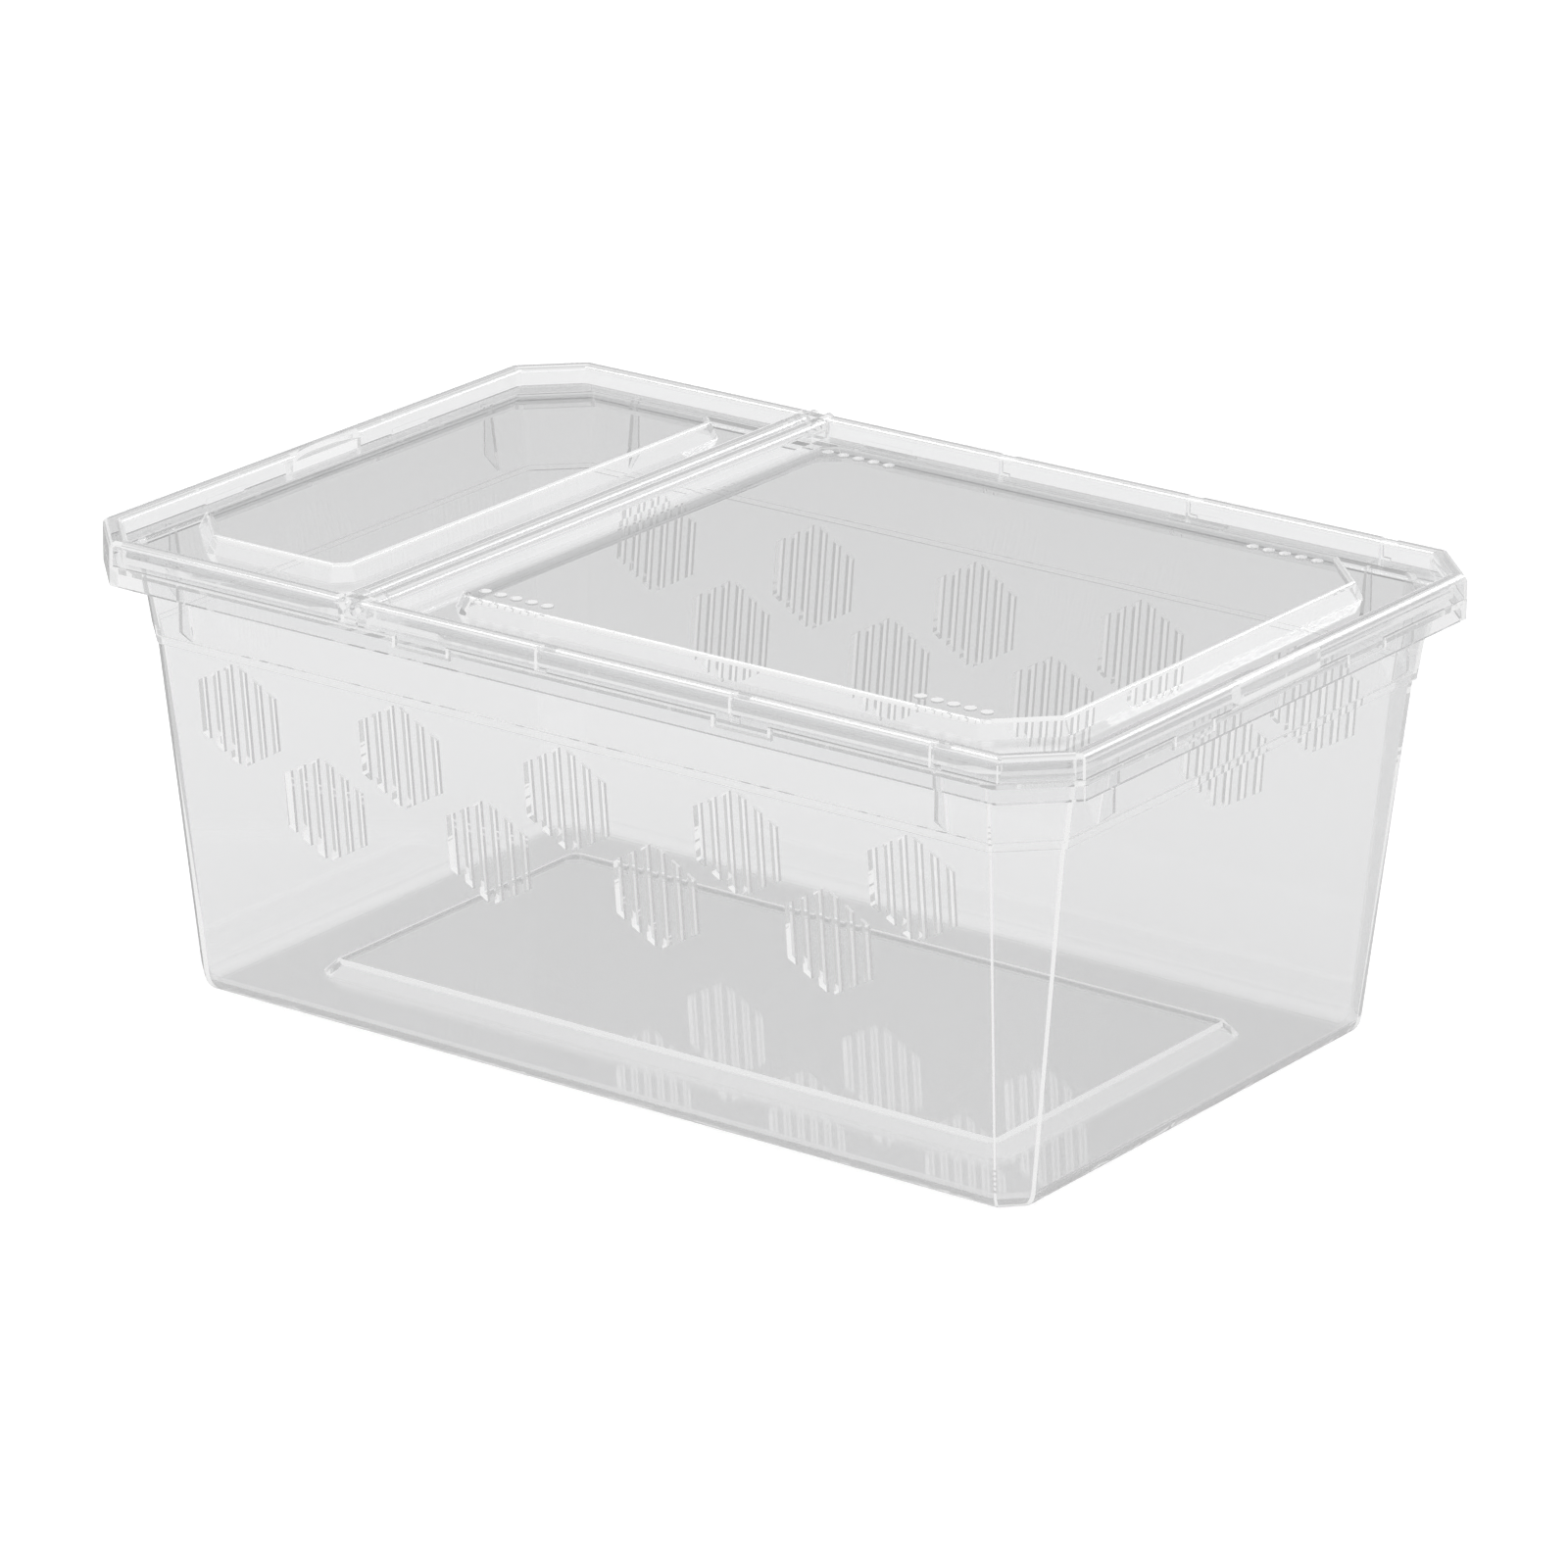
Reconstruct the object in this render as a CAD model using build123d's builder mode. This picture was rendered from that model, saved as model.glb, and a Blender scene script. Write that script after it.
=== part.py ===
from build123d import *
import math
import os

# Clear reptile breeding box: a vented tub, a long main lid and a short feeding lid.
# X runs along the box, the feeding lid is at -X, the front is at -Y, the tub stands on Z = 0.

# Overall size
length = 325.0
width = 214.0
height = 134.0
rim_corner = 16.2

# Tub
wall = 2.0
base_inset_x = 22.3
base_inset_y = 21.4
base_corner = 7.4
base_round = 6.0
draft = 6.0
ledge_height = 104.3
ledge_step = 1.0
band_draft = 8.5
skirt_depth = 5.5

# Raised middle of the floor
floor_half_x = 115.0
floor_half_y = 58.0
floor_corner = 4.0
floor_rise = 4.0

# Gussets under the flange, beside each cut corner
gusset_width = 1.2
gusset_depth = 1.9
gusset_inset_x = 37.5
gusset_inset_y = 37.0
gusset_foot = 3.0
gusset_slant = 4.0

# Hexagon vents, each made of six upright slits
slit_count = 6
slit_width = 2.45
slit_pitch = 4.85
vent_pitch = 56.0
vent_upper_z = 88.0
vent_lower_z = 66.3

# Lids
seat_gap = 0.3
lid_plate = 1.6
bead_width = 5.7
bead_skin = 1.5
bead_top = 1.6
bead_hollow_round = 0.7
split_x = -63.0
split_gap = 0.8
plateau_drop = 0.4
plateau_skin = 1.8
plateau_draft = 24.0
plateau_round = 1.2
plateau_inset_y = 19.9
main_plateau_x = (-47.6, 143.6)
feeding_plateau_x = (-146.6, -80.4)
outer_corner = 17.0
inner_corner = 5.2
lid_height = 6.7

# Hinges at both ends of the split
hinge_radius = 2.2
pin_radius = 1.2
pin_clearance = 0.05
pin_barrel = 6.0
ear_depth = 3.2
cheek = 2.0
end_gap = 0.4
sweep_gap = 0.8

# Catch tongues on the lids and their windows in the skirt
tongue_width = 17.0
tongue_depth = 1.6
tongue_drop = 2.9
window_clearance = 1.0
window_floor_gap = 0.4
long_tongues_x = (-38.7, 66.4)
end_tongue_y = 41.0

# Bead breaks on the long sides of the main lid
break_pitch = 63.0
break_length = 5.0
break_depth = 0.8
slot_width = 1.2
slot_depth = 1.1
foot_length = 3.0
foot_height = 0.9

# Finger scoops in the end beads
scoop_main = 38.0
scoop_feeding = 30.0
scoop_depth = 3.4
scoop_drop = 2.4

# Round vents along the main lid
hole_radius = 1.7
hole_pitch = 5.2
hole_count = 5
hole_rows_x = (-39.8, 102.2)
hole_inset = 9.4

half_x = length / 2
half_y = width / 2
base_half_x = half_x - base_inset_x
base_half_y = half_y - base_inset_y
gusset_x = half_x - gusset_inset_x
gusset_y = half_y - gusset_inset_y
plateau_half_y = half_y - plateau_inset_y
hole_row_y = plateau_half_y - hole_inset
lid_bottom = height - lid_height
flange_top = lid_bottom - seat_gap
hinge_z = height - hinge_radius
hinge_offset = split_gap / 2 + hinge_radius
cheek_y = half_y - cheek
ear_y = cheek_y - end_gap
pin_start_y = ear_y - ear_depth - end_gap

wall_slope = math.tan(math.radians(draft))
band_slope = math.tan(math.radians(band_draft))
ledge_growth = ledge_height * wall_slope
corner_growth = 2 - 2 ** 0.5


def octagon(x, y, corner):
    """Points of a rectangle with cut corners, given its half sizes."""
    return [
        (x - corner, -y), (x, -y + corner), (x, y - corner), (x - corner, y),
        (-x + corner, y), (-x, y - corner), (-x, -y + corner), (-x + corner, -y),
    ]


def tub_outline(growth):
    """The tub's cut-corner outline, offset outwards from its base by growth."""
    return octagon(base_half_x + growth, base_half_y + growth, base_corner + growth * corner_growth)


def gusset_profile(base_half):
    """Side view of a gusset, from the middle of the wall outwards, for a wall that stands base_half out."""
    foot_z = ledge_height + gusset_foot
    head_z = flange_top - wall / 2
    foot = base_half + ledge_growth + ledge_step + gusset_foot * band_slope - wall / 2
    head = foot + (head_z - foot_z) * band_slope
    edge = head + wall / 2 + gusset_depth
    return [
        (foot, foot_z), (foot + wall / 2, foot_z), (edge, foot_z + gusset_slant), (edge, head_z), (head, head_z),
    ]


# Inside of the tub
with BuildPart() as tub_inside:
    with BuildSketch(Plane.XY.offset(wall)):
        Polygon(*tub_outline(wall * wall_slope - wall), align=None)
    extrude(amount=ledge_height, taper=-draft)
    fillet(tub_inside.faces().sort_by(Axis.Z)[0].edges(), base_round - wall)
    with BuildSketch(Plane.XY.offset(ledge_height + wall)):
        Polygon(*tub_outline(ledge_growth + ledge_step - wall), align=None)
    extrude(amount=flange_top - ledge_height, taper=-band_draft)
    with BuildSketch(Plane.XY):
        Polygon(*octagon(floor_half_x + wall, floor_half_y + wall, floor_corner), align=None)
    extrude(amount=wall + floor_rise, taper=45, mode=Mode.SUBTRACT)

# Tub
with BuildPart() as tub:
    with BuildSketch(Plane.XY.offset(flange_top - skirt_depth)):
        Polygon(*octagon(half_x, half_y, rim_corner), align=None)
    extrude(amount=skirt_depth)
    with BuildSketch(Plane.XY.offset(flange_top - skirt_depth)):
        Polygon(*octagon(half_x - wall, half_y - wall, rim_corner), align=None)
    extrude(amount=skirt_depth - wall, mode=Mode.SUBTRACT)
    with BuildSketch(Plane.XY.offset(ledge_height)):
        Polygon(*tub_outline(ledge_growth + ledge_step), align=None)
    extrude(amount=flange_top - ledge_height, taper=-band_draft)
    with BuildSketch(Plane.XY):
        Polygon(*tub_outline(0), align=None)
    extrude(amount=ledge_height, taper=-draft)
    fillet(tub.faces().sort_by(Axis.Z)[0].edges(), base_round)
    add(tub_inside.part, mode=Mode.SUBTRACT)
    # hollow under the raised floor
    with BuildSketch(Plane.XY):
        Polygon(*octagon(floor_half_x, floor_half_y, floor_corner), align=None)
    extrude(amount=floor_rise, taper=45, mode=Mode.SUBTRACT)
    # slits of the hexagon vents, through both long walls
    slit_field = (slit_count - 1) * slit_pitch + slit_width
    vent_radius = slit_field / 3 ** 0.5
    upper_row = [(i * vent_pitch, vent_upper_z) for i in (-2, -1, 0, 1, 2)]
    lower_row = [(i * vent_pitch, vent_lower_z) for i in (-1.5, -0.5, 0.5, 1.5)]
    with BuildSketch(Plane.XZ):
        with Locations(*upper_row, *lower_row):
            RegularPolygon(vent_radius, 6, rotation=30)
            with GridLocations(slit_pitch, 1, slit_count - 1, 1):
                Rectangle(slit_pitch - slit_width, 2 * vent_radius, mode=Mode.SUBTRACT)
    extrude(amount=half_y, both=True, mode=Mode.SUBTRACT)
    # gussets between the band and the flange
    for side in (-1, 1):
        for x in (-gusset_x, gusset_x):
            with BuildSketch(Plane.YZ.offset(x)):
                Polygon(*[(side * reach, z) for reach, z in gusset_profile(base_half_y)], align=None)
            extrude(amount=gusset_width / 2, both=True)
        for y in (-gusset_y, gusset_y):
            with BuildSketch(Plane.XZ.offset(y)):
                Polygon(*[(side * reach, z) for reach, z in gusset_profile(base_half_x)], align=None)
            extrude(amount=gusset_width / 2, both=True)
    # hinge ears on the flange, one near each end of the split
    ear_base = flange_top - wall / 2
    for outer_y in (ear_depth - ear_y, ear_y):
        with BuildSketch(Plane.XZ.offset(-outer_y)):
            with Locations((split_x, hinge_z)):
                SlotCenterToCenter(2 * hinge_offset, 2 * hinge_radius)
            with Locations((split_x, (ear_base + hinge_z) / 2)):
                Rectangle(2 * (hinge_offset + hinge_radius), hinge_z - ear_base)
            with Locations((split_x - hinge_offset, hinge_z), (split_x + hinge_offset, hinge_z)):
                Circle(pin_radius + pin_clearance, mode=Mode.SUBTRACT)
        extrude(amount=ear_depth)
    # windows in the skirt for the catch tongues of the lids
    window_width = tongue_width + 2 * window_clearance
    window_height = tongue_drop + window_floor_gap
    for side in (-1, 1):
        for x in long_tongues_x:
            with Locations((x, side * half_y, flange_top)):
                Box(window_width, 2 * wall, 2 * window_height, mode=Mode.SUBTRACT)
        for y in (-end_tongue_y, end_tongue_y):
            with Locations((side * half_x, y, flange_top)):
                Box(2 * wall, window_width, 2 * window_height, mode=Mode.SUBTRACT)
tub.part.label = "tub"


def make_lid(end, plateau_x, scoop, tongues_x=(), breaks_x=(), holes_x=()):
    """One lid. end is the side it lies on: 1 for the main lid at +X, -1 for the feeding lid at -X."""
    edge_x = split_x + end * split_gap / 2
    hinge_x = split_x + end * hinge_offset
    far_x = end * half_x
    outline = [
        (edge_x, -half_y), (far_x - end * rim_corner, -half_y), (far_x, -half_y + rim_corner),
        (far_x, half_y - rim_corner), (far_x - end * rim_corner, half_y), (edge_x, half_y),
    ][::end]
    low_x, high_x = plateau_x
    outer_x, inner_x = (high_x, low_x) if end > 0 else (low_x, high_x)

    def plateau_outline(inset):
        y = plateau_half_y - inset
        outer = outer_x - end * inset
        inner = inner_x + end * inset
        far, near = end * outer_corner, end * inner_corner
        points = [
            (outer - far, -y), (outer, -y + outer_corner), (outer, y - outer_corner), (outer - far, y),
            (inner + near, y), (inner, y - inner_corner), (inner, -y + inner_corner), (inner + near, -y),
        ]
        return points[::end]

    rise = height - plateau_drop - lid_bottom
    with BuildPart() as panel:
        with BuildSketch(Plane.XY.offset(lid_bottom)):
            Polygon(*plateau_outline(0), align=None)
        extrude(amount=rise, taper=plateau_draft)
        fillet(panel.faces().sort_by(Axis.Z)[-1].edges(), plateau_round)
    with BuildPart() as bead_hollow:
        with BuildSketch(Plane.XY.offset(lid_bottom)):
            Polygon(*outline, align=None)
            offset(amount=-bead_skin, kind=Kind.INTERSECTION)
            inner_edge = Polygon(*outline, align=None, mode=Mode.PRIVATE)
            offset(inner_edge, amount=bead_skin - bead_width, kind=Kind.INTERSECTION, mode=Mode.SUBTRACT)
        extrude(amount=lid_height - bead_top)
        fillet(bead_hollow.faces().sort_by(Axis.Z)[-1].edges(), bead_hollow_round)
    with BuildPart() as lid:
        # raised bead all round, rounded on both top edges
        with BuildSketch(Plane.XY.offset(lid_bottom)):
            Polygon(*outline, align=None)
            offset(amount=-bead_width, kind=Kind.INTERSECTION, mode=Mode.SUBTRACT)
        extrude(amount=lid_height)
        fillet(lid.faces().sort_by(Axis.Z)[-1].edges(), hinge_radius)
        # plate between the bead and the raised panel
        with BuildSketch(Plane.XY.offset(lid_bottom)):
            Polygon(*outline, align=None)
            offset(amount=-bead_width / 2, kind=Kind.INTERSECTION)
        extrude(amount=lid_plate)
        # raised panel, hollow underneath
        add(panel.part)
        with BuildSketch(Plane.XY.offset(lid_bottom)):
            Polygon(*plateau_outline(plateau_skin), align=None)
        extrude(amount=rise - plateau_skin, taper=plateau_draft, mode=Mode.SUBTRACT)
        # round nose at the split, centred on the hinge axis
        nose_height = hinge_z - lid_bottom
        with Locations(((hinge_x + split_x) / 2, 0, lid_bottom + nose_height / 2)):
            Box(hinge_offset, width, nose_height, mode=Mode.SUBTRACT)
        with Locations((hinge_x, 0, hinge_z)):
            Cylinder(hinge_radius, width, rotation=(90, 0, 0))
        # the bead is hollow underneath
        add(bead_hollow.part, mode=Mode.SUBTRACT)
        # room for the ears, and the pins that cross it between two solid ends of the nose
        clear_x = hinge_x + end * (hinge_radius + sweep_gap)
        for side in (-1, 1):
            slot_y = side * (pin_start_y + cheek_y) / 2
            with Locations((hinge_x, side * (pin_start_y - pin_barrel / 2), hinge_z)):
                Cylinder(hinge_radius, pin_barrel, rotation=(90, 0, 0))
            with Locations(((clear_x + split_x) / 2, slot_y, height - lid_height / 2)):
                Box(abs(clear_x - split_x), cheek_y - pin_start_y, 2 * lid_height, mode=Mode.SUBTRACT)
            with Locations((hinge_x, slot_y, hinge_z)):
                Cylinder(pin_radius, cheek_y - pin_start_y + cheek, rotation=(90, 0, 0))
        # catch tongues
        tongue_z = lid_bottom - tongue_drop / 2 + lid_plate / 2
        for side in (-1, 1):
            for x in tongues_x:
                with Locations((x, side * (half_y - tongue_depth / 2), tongue_z)):
                    Box(tongue_width, tongue_depth, tongue_drop + lid_plate)
            with Locations((far_x - end * tongue_depth / 2, side * end_tongue_y, tongue_z)):
                Box(tongue_depth, tongue_width, tongue_drop + lid_plate)
        # finger scoop in the end bead, over a solid stretch
        with Locations((far_x - end * bead_width / 2, 0, lid_bottom + (lid_height - bead_top) / 2)):
            Box(bead_width - bead_skin, scoop, lid_height - bead_top)
        scoop_radius = (scoop ** 2 / 4 + scoop_depth ** 2) / (2 * scoop_depth)
        scoop_x = far_x - end * (bead_width - scoop_depth + scoop_radius)
        with BuildSketch(Plane.XY.offset(height - scoop_drop)):
            with Locations((scoop_x, 0)):
                Circle(scoop_radius)
            with Locations((far_x - end * bead_width / 2, 0)):
                Rectangle(bead_width, scoop, mode=Mode.INTERSECT)
        extrude(amount=scoop_drop, mode=Mode.SUBTRACT)
        # breaks in the bead, each with a narrow slot and a short foot below it
        for x in breaks_x:
            for y in (-half_y, half_y):
                with Locations((x + (slot_width + break_length) / 2, y, height)):
                    Box(break_length, bead_width, 2 * break_depth, mode=Mode.SUBTRACT)
                with Locations((x, y, height - lid_height / 2)):
                    Box(slot_width, 2 * slot_depth, lid_height, mode=Mode.SUBTRACT)
                with Locations((x + foot_length / 2, y, lid_bottom)):
                    Box(foot_length, 2 * slot_depth, 2 * foot_height, mode=Mode.SUBTRACT)
        # rows of round vents at the edge of the raised panel
        for x in holes_x:
            with Locations((x + (hole_count - 1) * hole_pitch / 2, 0, height)):
                with GridLocations(hole_pitch, 2 * hole_row_y, hole_count, 2):
                    Cylinder(hole_radius, 2 * rise, mode=Mode.SUBTRACT)
    return lid.part


feeding_lid = make_lid(-1, feeding_plateau_x, scoop_feeding)
feeding_lid.label = "feeding lid"
main_breaks = [split_x + i * break_pitch for i in (1, 2, 3)]
main_lid = make_lid(1, main_plateau_x, scoop_main, long_tongues_x, main_breaks, hole_rows_x)
main_lid.label = "main lid"

os.makedirs("parts", exist_ok=True)
export_step(tub.part, "parts/tub.step")
export_step(main_lid, "parts/main_lid.step")
export_step(feeding_lid, "parts/feeding_lid.step")
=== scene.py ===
import math

import bmesh
import bpy
from bpy.props import FloatProperty, FloatVectorProperty, PointerProperty
from mathutils import Matrix, Vector

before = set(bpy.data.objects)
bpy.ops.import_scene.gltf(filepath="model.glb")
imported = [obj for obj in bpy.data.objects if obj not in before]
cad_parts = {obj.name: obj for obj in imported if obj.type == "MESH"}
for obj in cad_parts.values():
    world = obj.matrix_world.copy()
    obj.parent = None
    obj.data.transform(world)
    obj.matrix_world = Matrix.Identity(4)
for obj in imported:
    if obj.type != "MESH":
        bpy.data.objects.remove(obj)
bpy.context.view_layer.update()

bl_info = {
    "name": "Reptile breeding box",
    "version": (1, 0, 0),
    "blender": (4, 5, 0),
    "location": "View3D > Sidebar > Breeding Box",
    "description": "Dresses the clear breeding box and sets up its studio",
    "category": "Object",
}

WHITE = (1.0, 1.0, 1.0, 1.0)
FLOOR_HALF = 6.0
FLOOR_GAP = 0.0002
# Distances from the box between which the floor's glow rises
GLOW_NEAR, GLOW_FAR = 0.14, 0.5
LIGHT_BOUNCES = 24
# Light that crosses more faces than this counts as trapped in the plastic, which shows a painted glow
# there instead
TRAPPED_DEPTH = 11.5
# Depths that split light before its first face or mirror from light after it
NONE_YET = 0.5
MIRRORED_ONCE = 1.5
BEHIND_THE_WALL = 3.5
# Turn, stretch and noise limits of the hairline scratches
HAIRLINE_TURN = (0.3, 0.2, 0.6)
HAIRLINE_STRETCH = (900.0, 14.0, 60.0)
HAIRLINE_DETAIL = 3.0
HAIRLINE_LIMITS = (0.62, 0.72)
SMEAR_SCALE = 22.0
SMEAR_DETAIL = 4.0
SMEAR_LIMITS = (0.45, 0.75)
SCRATCH_AMOUNT = 0.35
SMEAR_AMOUNT = 0.25
RIPPLE_SCALE = 14.0
RIPPLE_DETAIL = 1.5
RIPPLE_HEIGHT = 0.001
SENSOR_WIDTH = 36.0
CLIP_START, CLIP_END = 0.05, 50.0
LAMP_TARGET = (0.0, 0.0, 0.06)
# Name, place, size and power of each lamp. The strips give the lids' beads their highlights
LAMPS = (
    ("Key softbox", (0.9, -1.1, 1.6), (0.9, 0.9), 4.0),
    ("Front bead strip", (-0.83, 0.14, 1.46), (0.9, 0.45), 5.0),
    ("End bead strip", (0.45, 1.2, 0.95), (0.9, 0.3), 3.5),
)
# Node, material name and stretch of the moulding ripples
DRESSING = (
    ("tub", "Tub clear plastic", (1.0, 1.0, 0.25)),
    ("main_lid", "Main lid clear plastic", (0.4, 1.0, 1.0)),
    ("feeding_lid", "Feeding lid clear plastic", (1.0, 0.4, 1.0)),
)
# Painted reflections: greys that the world shows only to light that the plastic mirrors, with a dark
# band at about the camera's height, at rising heights as the sine of the angle above the floor, for
# light that mirrors outside the plastic, behind its first wall and deeper in the box
OUTER_BAND = ((0.0, 0.85), (0.17, 0.85), (0.26, 0.1), (0.42, 0.1), (0.52, 0.9))
INNER_BAND = ((0.0, 0.9), (0.17, 0.9), (0.26, 0.72), (0.42, 0.72), (0.52, 0.95))
DEEP_BAND = ((0.0, 0.8), (0.17, 0.8), (0.26, 0.38), (0.42, 0.38), (0.52, 0.85))


# Shader node groups

def new_group(name, inputs, outputs):
    """An empty shader node group with its sockets, and its input and output nodes."""
    group = bpy.data.node_groups.new(name, "ShaderNodeTree")
    for label, kind, default in inputs:
        socket = group.interface.new_socket(label, in_out="INPUT", socket_type=kind)
        socket.default_value = default
    for label, kind in outputs:
        group.interface.new_socket(label, in_out="OUTPUT", socket_type=kind)
    return group, group.nodes.new("NodeGroupInput"), group.nodes.new("NodeGroupOutput")


def scaled_place(group, source):
    """The object's own coordinates times the group's Scale."""
    place = group.nodes.new("ShaderNodeTexCoord")
    sized = group.nodes.new("ShaderNodeVectorMath")
    sized.operation = "SCALE"
    group.links.new(place.outputs["Object"], sized.inputs[0])
    group.links.new(source.outputs["Scale"], sized.inputs["Scale"])
    return sized.outputs[0]


def noise_between(nodes, links, place, detail, limits, scale=None):
    """Noise that goes from 0 to 1 between the two limits."""
    noise = nodes.new("ShaderNodeTexNoise")
    if scale is not None:
        noise.inputs["Scale"].default_value = scale
    noise.inputs["Detail"].default_value = detail
    links.new(place, noise.inputs["Vector"])
    sharper = nodes.new("ShaderNodeMapRange")
    sharper.inputs["From Min"].default_value, sharper.inputs["From Max"].default_value = limits
    links.new(noise.outputs["Fac"], sharper.inputs["Value"])
    return sharper.outputs[0]


def compared(nodes, links, operation, value, limit):
    """1 where the value is beyond or below the limit, as the operation says, and else 0."""
    test = nodes.new("ShaderNodeMath")
    test.operation = operation
    test.inputs[1].default_value = limit
    links.new(value, test.inputs[0])
    return test.outputs[0]


def choice(nodes, links, mask, first, second):
    """The first colour where the mask is 0 and the second where it is 1. Each is a grey or a socket."""
    mix = nodes.new("ShaderNodeMix")
    mix.data_type = "RGBA"
    links.new(mask, mix.inputs["Factor"])
    for name, colour in (("A", first), ("B", second)):
        if isinstance(colour, bpy.types.NodeSocket):
            links.new(colour, mix.inputs[name])
        else:
            mix.inputs[name].default_value = (*colour, 1.0)
    return mix.outputs["Result"]


def handling_marks_group():
    """Fine hairline scratches and soft smears, as a mask for roughness."""
    group, source, result = new_group(
        "Handling marks",
        [("Scale", "NodeSocketFloat", 1.0), ("Scratches", "NodeSocketFloat", 0.5),
         ("Smears", "NodeSocketFloat", 0.5)],
        [("Mask", "NodeSocketFloat")],
    )
    nodes, links = group.nodes, group.links
    sized = scaled_place(group, source)
    stretched = nodes.new("ShaderNodeMapping")
    stretched.inputs["Rotation"].default_value = HAIRLINE_TURN
    stretched.inputs["Scale"].default_value = HAIRLINE_STRETCH
    links.new(sized, stretched.inputs["Vector"])
    hairlines = noise_between(nodes, links, stretched.outputs[0], HAIRLINE_DETAIL, HAIRLINE_LIMITS)
    patches = noise_between(nodes, links, sized, SMEAR_DETAIL, SMEAR_LIMITS, SMEAR_SCALE)
    scratched = nodes.new("ShaderNodeMath")
    scratched.operation = "MULTIPLY"
    links.new(hairlines, scratched.inputs[0])
    links.new(source.outputs["Scratches"], scratched.inputs[1])
    smeared = nodes.new("ShaderNodeMath")
    smeared.operation = "MULTIPLY_ADD"
    links.new(patches, smeared.inputs[0])
    links.new(source.outputs["Smears"], smeared.inputs[1])
    links.new(scratched.outputs[0], smeared.inputs[2])
    links.new(smeared.outputs[0], result.inputs["Mask"])
    return group


def mould_flow_group():
    """Slow ripples that a clear moulding keeps from its filling, as a height."""
    group, source, result = new_group(
        "Mould flow",
        [("Scale", "NodeSocketFloat", 1.0), ("Stretch", "NodeSocketVector", (1.0, 1.0, 1.0))],
        [("Height", "NodeSocketFloat")],
    )
    nodes, links = group.nodes, group.links
    drawn = nodes.new("ShaderNodeVectorMath")
    drawn.operation = "MULTIPLY"
    links.new(scaled_place(group, source), drawn.inputs[0])
    links.new(source.outputs["Stretch"], drawn.inputs[1])
    ripples = nodes.new("ShaderNodeTexNoise")
    ripples.inputs["Scale"].default_value = RIPPLE_SCALE
    ripples.inputs["Detail"].default_value = RIPPLE_DETAIL
    links.new(drawn.outputs[0], ripples.inputs["Vector"])
    links.new(ripples.outputs["Fac"], result.inputs["Height"])
    return group


# Materials

def clear_plastic(name, finish, marks, flow, stretch):
    """Clear moulded plastic that lets light through to what is under it."""
    material = bpy.data.materials.new(name)
    material.use_nodes = True
    nodes, links = material.node_tree.nodes, material.node_tree.links
    surface = nodes["Principled BSDF"]
    surface.inputs["Base Color"].default_value = (*finish.plastic_tint, 1.0)
    surface.inputs["IOR"].default_value = finish.plastic_ior
    surface.inputs["Transmission Weight"].default_value = 1.0
    surface.inputs["Metallic"].default_value = 0.0
    handled = nodes.new("ShaderNodeGroup")
    handled.node_tree = marks
    handled.inputs["Scratches"].default_value = SCRATCH_AMOUNT
    handled.inputs["Smears"].default_value = SMEAR_AMOUNT
    gloss = nodes.new("ShaderNodeMapRange")
    gloss.inputs["To Min"].default_value = finish.plastic_roughness
    gloss.inputs["To Max"].default_value = finish.plastic_roughness + finish.handling_haze
    links.new(handled.outputs["Mask"], gloss.inputs["Value"])
    links.new(gloss.outputs[0], surface.inputs["Roughness"])
    flowing = nodes.new("ShaderNodeGroup")
    flowing.node_tree = flow
    flowing.inputs["Stretch"].default_value = stretch
    relief = nodes.new("ShaderNodeBump")
    relief.inputs["Strength"].default_value = finish.ripple_strength
    relief.inputs["Distance"].default_value = RIPPLE_HEIGHT
    links.new(flowing.outputs["Height"], relief.inputs["Height"])
    links.new(relief.outputs[0], surface.inputs["Normal"])
    path = nodes.new("ShaderNodeLightPath")
    lit_through = nodes.new("ShaderNodeMath")
    lit_through.operation = "MAXIMUM"
    links.new(path.outputs["Is Shadow Ray"], lit_through.inputs[0])
    links.new(path.outputs["Is Diffuse Ray"], lit_through.inputs[1])
    passing = nodes.new("ShaderNodeBsdfTransparent")
    passing.inputs["Color"].default_value = (*finish.shadow_tint, 1.0)
    # Painted glow: where light has crossed too many faces, the plastic glows white instead of going
    # black
    trapped = compared(nodes, links, "GREATER_THAN", path.outputs["Ray Depth"], TRAPPED_DEPTH)
    painted_glow = nodes.new("ShaderNodeEmission")
    painted_glow.inputs["Color"].default_value = WHITE
    painted_glow.inputs["Strength"].default_value = finish.painted_trapped_glow
    glass = nodes.new("ShaderNodeMixShader")
    links.new(trapped, glass.inputs["Fac"])
    links.new(surface.outputs[0], glass.inputs[1])
    links.new(painted_glow.outputs[0], glass.inputs[2])
    mix = nodes.new("ShaderNodeMixShader")
    links.new(lit_through.outputs[0], mix.inputs["Fac"])
    links.new(glass.outputs[0], mix.inputs[1])
    links.new(passing.outputs[0], mix.inputs[2])
    links.new(mix.outputs[0], nodes["Material Output"].inputs["Surface"])
    return material


# Sizes and colours that a user would change

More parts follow.
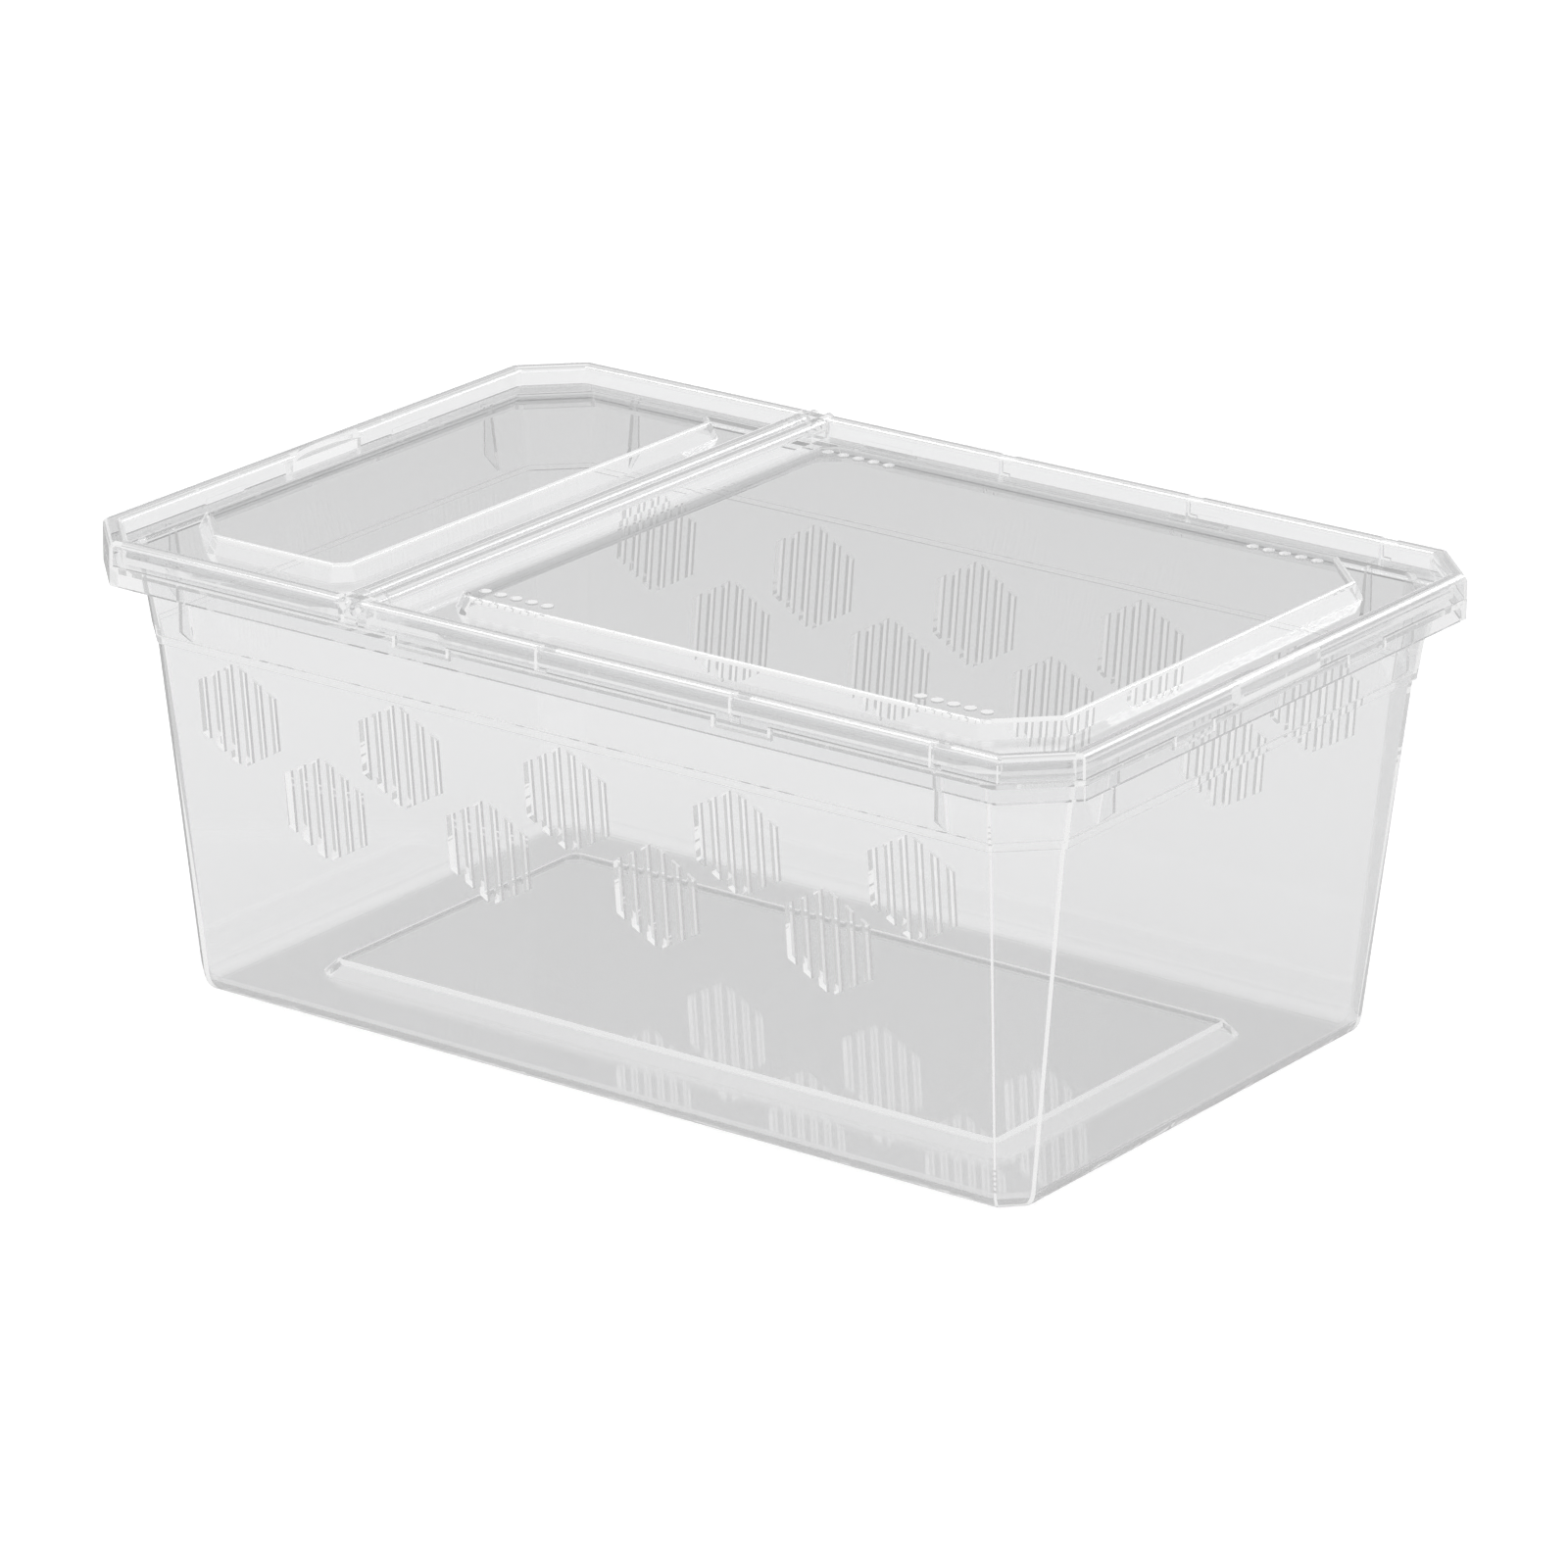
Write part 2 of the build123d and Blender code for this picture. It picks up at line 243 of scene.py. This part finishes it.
class BoxFinish(bpy.types.PropertyGroup):
    plastic_tint: FloatVectorProperty(
        name="Plastic tint", description="Colour of the clear plastic", subtype="COLOR",
        size=3, default=(0.962, 0.963, 0.965), min=0.0, max=1.0)
    plastic_ior: FloatProperty(
        name="Plastic IOR", description="How strongly the plastic bends light",
        default=1.55, min=1.3, max=1.8)
    plastic_roughness: FloatProperty(
        name="Roughness", description="Roughness of the polished faces",
        default=0.0, min=0.0, max=1.0)
    handling_haze: FloatProperty(
        name="Handling haze", description="Roughness that scratches and smears add",
        default=0.006, min=0.0, max=1.0)
    ripple_strength: FloatProperty(
        name="Ripples", description="Strength of the moulding ripples",
        default=0.015, min=0.0, max=1.0)
    # Strength of the painted glow that stands in for light trapped in thick edges
    painted_trapped_glow: FloatProperty(
        name="Trapped light", description="Light that leaks from inside thick edges",
        default=0.9, min=0.0, max=4.0)
    shadow_tint: FloatVectorProperty(
        name="Shadow tint", description="Light left after one face of the plastic", subtype="COLOR",
        size=3, default=(0.95, 0.95, 0.95), min=0.0, max=1.0)


class StudioSettings(bpy.types.PropertyGroup):
    azimuth: FloatProperty(
        name="Azimuth", description="Camera angle round the box",
        subtype="ANGLE", default=math.radians(36.13))
    elevation: FloatProperty(
        name="Elevation", description="Camera angle above the floor",
        subtype="ANGLE", default=math.radians(19.65))
    roll: FloatProperty(
        name="Roll", description="Camera turn about its own line of sight", subtype="ANGLE",
        default=math.radians(0.29))
    distance: FloatProperty(
        name="Distance", description="Camera distance from its target",
        unit="LENGTH", default=2.2661)
    lens: FloatProperty(
        name="Lens", description="Focal length on a 36 mm sensor, in millimetres", default=190.53)
    target_side: FloatProperty(
        name="Side shift", description="Target's shift along the picture's width",
        unit="LENGTH", default=0.00174)
    target_up: FloatProperty(
        name="Up shift", description="Target's shift along the picture's height",
        unit="LENGTH", default=-0.00623)
    target_height: FloatProperty(
        name="Target height", description="Height of the target above the floor",
        unit="LENGTH", default=0.072)
    floor_colour: FloatVectorProperty(
        name="Floor", description="Colour of the floor and backdrop", subtype="COLOR",
        size=3, default=(0.86, 0.86, 0.86), min=0.0, max=1.0)
    # Painted reflection: a darker floor grey that only the plastic's outer reflections show
    floor_reflected: FloatVectorProperty(
        name="Floor in reflections", description="Colour of the floor that the plastic mirrors",
        subtype="COLOR",
        size=3, default=(0.42, 0.42, 0.42), min=0.0, max=1.0)
    # Painted reflection: the floor grey for light mirrored behind the plastic's first wall, which sets
    # the tone of edges and slit sides
    floor_within: FloatVectorProperty(
        name="Floor within the plastic",
        description="Colour of the floor that light mirrored behind the first wall meets",
        subtype="COLOR", size=3, default=(0.96, 0.96, 0.96), min=0.0, max=1.0)
    # Painted shade: the floor grey and glow seen through the plastic, which set the tone of the box's
    # inside
    floor_through: FloatVectorProperty(
        name="Floor through the plastic",
        description="Colour of the floor that is seen through the plastic",
        subtype="COLOR", size=3, default=(0.97, 0.97, 0.97), min=0.0, max=1.0)
    floor_glow_through: FloatProperty(
        name="Floor glow through the plastic",
        description="Floor glow that is seen through the plastic",
        default=0.26, min=0.0, max=2.0)
    floor_lift: FloatProperty(
        name="Floor lift", description="Floor glow that the camera sees beside the box",
        default=0.27, min=0.0, max=1.0)
    backdrop_lift: FloatProperty(
        name="Backdrop lift", description="The same far from the box, where the lamps fall off",
        default=0.4, min=0.0, max=1.0)
    world_light: FloatProperty(
        name="World light", description="Strength of the light that the world gives the floor",
        default=0.7, min=0.0, max=2.0)
    # Painted shade: a grey world for light seen through the plastic, while the camera sees white
    world_through: FloatVectorProperty(
        name="World through the plastic",
        description="Colour of the world that is seen through the plastic",
        subtype="COLOR", size=3, default=(0.95, 0.95, 0.95), min=0.0, max=1.0)
    # Painted reflection: the world's grey after more than one reflection in the plastic
    world_mirrored: FloatVectorProperty(
        name="World mirrored twice",
        description="Colour of the world after more than one reflection",
        subtype="COLOR", size=3, default=(0.85, 0.85, 0.85), min=0.0, max=1.0)


# Operators

class BOX_OT_dress_plastic(bpy.types.Operator):
    """Gives the tub and both lids their clear plastic"""
    bl_idname = "breeding_box.dress_plastic"
    bl_label = "Clear plastic"

    def execute(self, context):
        finish = context.scene.breeding_box_finish
        marks, flow = handling_marks_group(), mould_flow_group()
        for node, name, stretch in DRESSING:
            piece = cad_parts[node]
            piece.data.materials.clear()
            piece.data.materials.append(clear_plastic(name, finish, marks, flow, stretch))
        return {"FINISHED"}


def soft_lamp(name, place, target, size, power):
    """A flat soft box that points at the target and isn't seen through the plastic."""
    light = bpy.data.lights.new(name, "AREA")
    light.shape, light.energy = "RECTANGLE", power
    light.size, light.size_y = size
    light.use_nodes = True
    nodes, links = light.node_tree.nodes, light.node_tree.links
    path = nodes.new("ShaderNodeLightPath")
    outside = compared(nodes, links, "LESS_THAN", path.outputs["Transmission Depth"], NONE_YET)
    links.new(outside, nodes["Emission"].inputs["Strength"])
    lamp = bpy.data.objects.new(name, light)
    lamp.location = place
    lamp.rotation_euler = (Vector(target) - Vector(place)).to_track_quat("-Z", "Y").to_euler()
    bpy.context.scene.collection.objects.link(lamp)


class BOX_OT_build_stage(bpy.types.Operator):
    """Builds the floor, the lights, the world and the camera"""
    bl_idname = "breeding_box.build_stage"
    bl_label = "Studio"

    def execute(self, context):
        studio = context.scene.breeding_box_studio
        self.build_floor(studio)
        self.build_world(studio)
        self.place_camera(context.scene, studio)
        for name, place, size, power in LAMPS:
            soft_lamp(name, place, LAMP_TARGET, size, power)
        context.scene.view_settings.view_transform = "Standard"
        cycles = context.scene.cycles
        cycles.max_bounces = cycles.transmission_bounces = LIGHT_BOUNCES
        cycles.glossy_bounces = cycles.transparent_max_bounces = LIGHT_BOUNCES
        return {"FINISHED"}

    def build_floor(self, studio):
        grid = bmesh.new()
        bmesh.ops.create_grid(grid, x_segments=1, y_segments=1, size=FLOOR_HALF)
        bmesh.ops.translate(grid, verts=grid.verts, vec=(0.0, 0.0, -FLOOR_GAP))
        mesh = bpy.data.meshes.new("floor")
        grid.to_mesh(mesh)
        grid.free()
        floor = bpy.data.objects.new("floor", mesh)
        bpy.context.scene.collection.objects.link(floor)
        mesh.materials.append(self.floor_material(studio))

    def floor_material(self, studio):
        """A matt floor whose colour and glow depend on the way that light takes to it, so the greys
        that the plastic mirrors or lets through are painted reflections and painted shade.
        """
        material = bpy.data.materials.new("Studio floor")
        material.use_nodes = True
        nodes, links = material.node_tree.nodes, material.node_tree.links
        surface = nodes["Principled BSDF"]
        surface.inputs["Roughness"].default_value = 1.0
        surface.inputs["Specular IOR Level"].default_value = 0.0
        path = nodes.new("ShaderNodeLightPath")
        through = compared(nodes, links, "GREATER_THAN", path.outputs["Transmission Depth"], NONE_YET)
        mirrored = compared(nodes, links, "GREATER_THAN", path.outputs["Glossy Depth"], NONE_YET)
        direct = compared(nodes, links, "LESS_THAN", path.outputs["Glossy Depth"], NONE_YET)
        # Painted shade: light seen through the plastic meets its own floor grey
        seen = choice(nodes, links, through, studio.floor_colour, studio.floor_through)
        # Painted reflections: mirrored light sees these floor greys instead of the floor's own colour
        reflected = choice(nodes, links, through, studio.floor_reflected, studio.floor_within)
        links.new(choice(nodes, links, mirrored, seen, reflected), surface.inputs["Base Color"])
        place = nodes.new("ShaderNodeTexCoord")
        distance = nodes.new("ShaderNodeVectorMath")
        distance.operation = "LENGTH"
        links.new(place.outputs["Object"], distance.inputs[0])
        spread = nodes.new("ShaderNodeMapRange")
        spread.inputs["From Min"].default_value = GLOW_NEAR
        spread.inputs["From Max"].default_value = GLOW_FAR
        spread.inputs["To Min"].default_value = studio.floor_lift
        spread.inputs["To Max"].default_value = studio.backdrop_lift
        links.new(distance.outputs["Value"], spread.inputs["Value"])
        # Painted shade: the floor glow seen through the plastic is its own, not the glow beside the box
        glow = nodes.new("ShaderNodeMix")
        glow.inputs["B"].default_value = studio.floor_glow_through
        links.new(through, glow.inputs["Factor"])
        links.new(spread.outputs[0], glow.inputs["A"])
        lift = nodes.new("ShaderNodeMath")
        lift.operation = "MULTIPLY"
        links.new(glow.outputs["Result"], lift.inputs[0])
        links.new(direct, lift.inputs[1])
        surface.inputs["Emission Color"].default_value = WHITE
        links.new(lift.outputs[0], surface.inputs["Emission Strength"])
        return material

    def grey_band(self, nodes, band):
        """A ramp of greys over the height in the world."""
        ramp = nodes.new("ShaderNodeValToRGB")
        ramp.color_ramp.interpolation = "EASE"
        stops = ramp.color_ramp.elements
        stops.remove(stops[0])
        stops[0].position = 1.0
        for height, grey in band:
            stops.new(height).color = (grey, grey, grey, 1.0)
        return ramp

    def build_world(self, studio):
        world = bpy.data.worlds.new("Studio world")
        bpy.context.scene.world = world
        world.use_nodes = True
        nodes, links = world.node_tree.nodes, world.node_tree.links
        lit = nodes["Background"]
        lit.inputs["Color"].default_value = WHITE
        lit.inputs["Strength"].default_value = studio.world_light
        place = nodes.new("ShaderNodeTexCoord")
        split = nodes.new("ShaderNodeSeparateXYZ")
        links.new(place.outputs["Generated"], split.inputs[0])
        bands = []
        for greys in (OUTER_BAND, INNER_BAND, DEEP_BAND):
            ramp = self.grey_band(nodes, greys)
            links.new(split.outputs["Z"], ramp.inputs["Fac"])
            bands.append(ramp.outputs["Color"])
        outer, inner, deep = bands
        path = nodes.new("ShaderNodeLightPath")
        crossed, bounced = path.outputs["Transmission Depth"], path.outputs["Glossy Depth"]
        through = compared(nodes, links, "GREATER_THAN", crossed, NONE_YET)
        behind = compared(nodes, links, "GREATER_THAN", crossed, BEHIND_THE_WALL)
        again = compared(nodes, links, "GREATER_THAN", bounced, MIRRORED_ONCE)
        straight = compared(nodes, links, "LESS_THAN", bounced, NONE_YET)
        # Painted reflections: light that the plastic mirrors sees grey bands instead of the white world
        within = choice(nodes, links, behind, inner, deep)
        band = choice(nodes, links, through, outer, within)
        reflected = nodes.new("ShaderNodeBackground")
        links.new(choice(nodes, links, again, band, studio.world_mirrored), reflected.inputs["Color"])
        seen = nodes.new("ShaderNodeBackground")
        # Painted shade: light seen through the plastic sees a grey world
        bent = choice(nodes, links, through, WHITE[:3], studio.world_through)
        links.new(bent, seen.inputs["Color"])
        painted_world = nodes.new("ShaderNodeMixShader")
        links.new(straight, painted_world.inputs["Fac"])
        links.new(reflected.outputs[0], painted_world.inputs[1])
        links.new(seen.outputs[0], painted_world.inputs[2])
        mix = nodes.new("ShaderNodeMixShader")
        links.new(path.outputs["Is Diffuse Ray"], mix.inputs["Fac"])
        links.new(painted_world.outputs[0], mix.inputs[1])
        links.new(lit.outputs[0], mix.inputs[2])
        links.new(mix.outputs[0], nodes["World Output"].inputs["Surface"])

    def place_camera(self, scene, studio):
        azimuth, elevation, roll = studio.azimuth, studio.elevation, studio.roll
        back = Vector((math.sin(azimuth) * math.cos(elevation),
                       -math.cos(azimuth) * math.cos(elevation), math.sin(elevation)))
        level = Vector((math.cos(azimuth), math.sin(azimuth), 0.0))
        upward = back.cross(level)
        right = math.cos(roll) * level + math.sin(roll) * upward
        up = math.cos(roll) * upward - math.sin(roll) * level
        data = bpy.data.cameras.new("Camera")
        data.sensor_width = SENSOR_WIDTH
        data.lens = studio.lens
        data.clip_start, data.clip_end = CLIP_START, CLIP_END
        camera = bpy.data.objects.new("Camera", data)
        place = Vector((0.0, 0.0, studio.target_height))
        place += back * studio.distance + right * studio.target_side + up * studio.target_up
        turn = Matrix((right, up, back)).transposed().to_4x4()
        camera.matrix_world = Matrix.Translation(place) @ turn
        scene.collection.objects.link(camera)
        scene.camera = camera


class BOX_PT_panel(bpy.types.Panel):
    """Lists the steps that dress the box"""
    bl_idname = "BOX_PT_panel"
    bl_label = "Breeding Box"
    bl_space_type = "VIEW_3D"
    bl_region_type = "UI"
    bl_category = "Breeding Box"

    def draw(self, context):
        for step in STEPS:
            self.layout.operator(step.bl_idname)


STEPS = (BOX_OT_dress_plastic, BOX_OT_build_stage)
CLASSES = (BoxFinish, StudioSettings, *STEPS, BOX_PT_panel)


def register():
    for cls in CLASSES:
        bpy.utils.register_class(cls)
    bpy.types.Scene.breeding_box_finish = PointerProperty(type=BoxFinish)
    bpy.types.Scene.breeding_box_studio = PointerProperty(type=StudioSettings)


def unregister():
    del bpy.types.Scene.breeding_box_studio
    del bpy.types.Scene.breeding_box_finish
    for cls in reversed(CLASSES):
        bpy.utils.unregister_class(cls)


def main():
    register()
    for step in STEPS:
        area, name = step.bl_idname.split(".")
        getattr(getattr(bpy.ops, area), name)()


if __name__ == "__main__":
    main()
